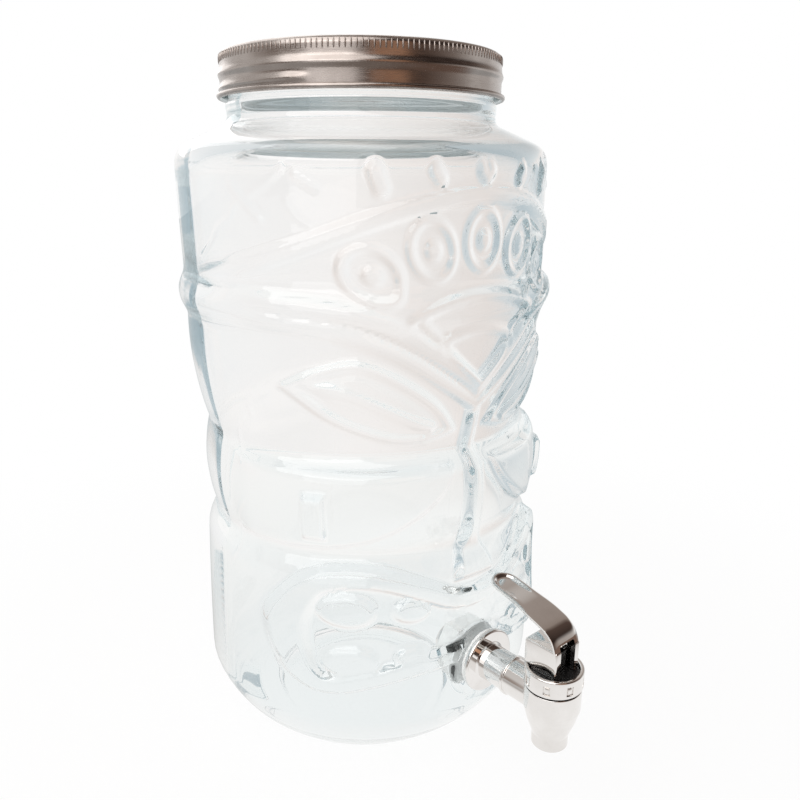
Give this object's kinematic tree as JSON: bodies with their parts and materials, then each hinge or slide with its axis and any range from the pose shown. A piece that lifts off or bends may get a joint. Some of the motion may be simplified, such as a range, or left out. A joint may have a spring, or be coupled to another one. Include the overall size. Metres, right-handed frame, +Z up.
{
  "type": "glass drinks dispenser",
  "caption": "Tall round glass drinks dispenser with a moulded tribal mask relief, a tin screw lid and a chromed press-lever tap with a spring valve.",
  "frame": {"origin": "middle of the foot ring, on the jar's axis, at the height of the surface it stands on", "axes": "+Z up along the jar's axis, the tap and the mask face -Y, +X to the right as seen from in front of the mask"},
  "size_m": [0.1708, 0.2224, 0.3176],
  "materials": {
    "clear_glass": "clear moulded soda-lime glass",
    "brushed_tin": "brushed tinplate with a warm lacquer",
    "white_liner": "soft white sealing compound",
    "chrome_plate": "mirror chrome plating",
    "clear_silicone": "translucent silicone",
    "black_plastic": "black moulded plastic",
    "spring_steel": "bright drawn steel"
  },
  "bodies": {
    "jar": {"glass_jar": "clear_glass", "tap_body": "chrome_plate", "tap_outer_washer": "clear_silicone", "tap_inner_washer": "clear_silicone", "tap_lock_nut": "chrome_plate", "tap_bonnet": "black_plastic", "bonnet_seal": "clear_silicone", "valve_spring": "spring_steel"},
    "liner": {"lid_liner": "white_liner"},
    "lid": {"lid_cap": "brushed_tin"},
    "stem": {"valve_stem": "black_plastic", "valve_seat_cup": "clear_silicone", "lever_pin": "spring_steel"},
    "lever": {"tap_lever": "chrome_plate"}
  },
  "joints": [
    {"name": "lid_lift", "type": "slide", "parent": "jar", "child": "liner", "axis": [0, 0, 1], "range_m": [0, 0.00905]},
    {"name": "lid_turn", "type": "hinge", "parent": "liner", "child": "lid", "pos_m": [0, 0, 0.3161], "axis": [0, 0, 1], "range_deg": [0, 540]},
    {"name": "stem_lift", "type": "slide", "parent": "jar", "child": "stem", "axis": [0, 0, 1], "range_m": [0, 0.00175], "deforming": ["valve_spring"]},
    {"name": "lever_tilt", "type": "hinge", "parent": "stem", "child": "lever", "pos_m": [0, -0.1246, 0.0778], "axis": [-1, 0, 0], "range_deg": [0, 10.05], "stiffness_Nm_per_rad": 0.15, "springref_deg": -17.19}
  ],
  "couplings": [
    {"joint": "lid_lift", "follows": "lid_turn", "m_per_rad": 0.00095493},
    {"joint": "lever_tilt", "follows": "stem_lift", "rad_per_m": 100}
  ]
}
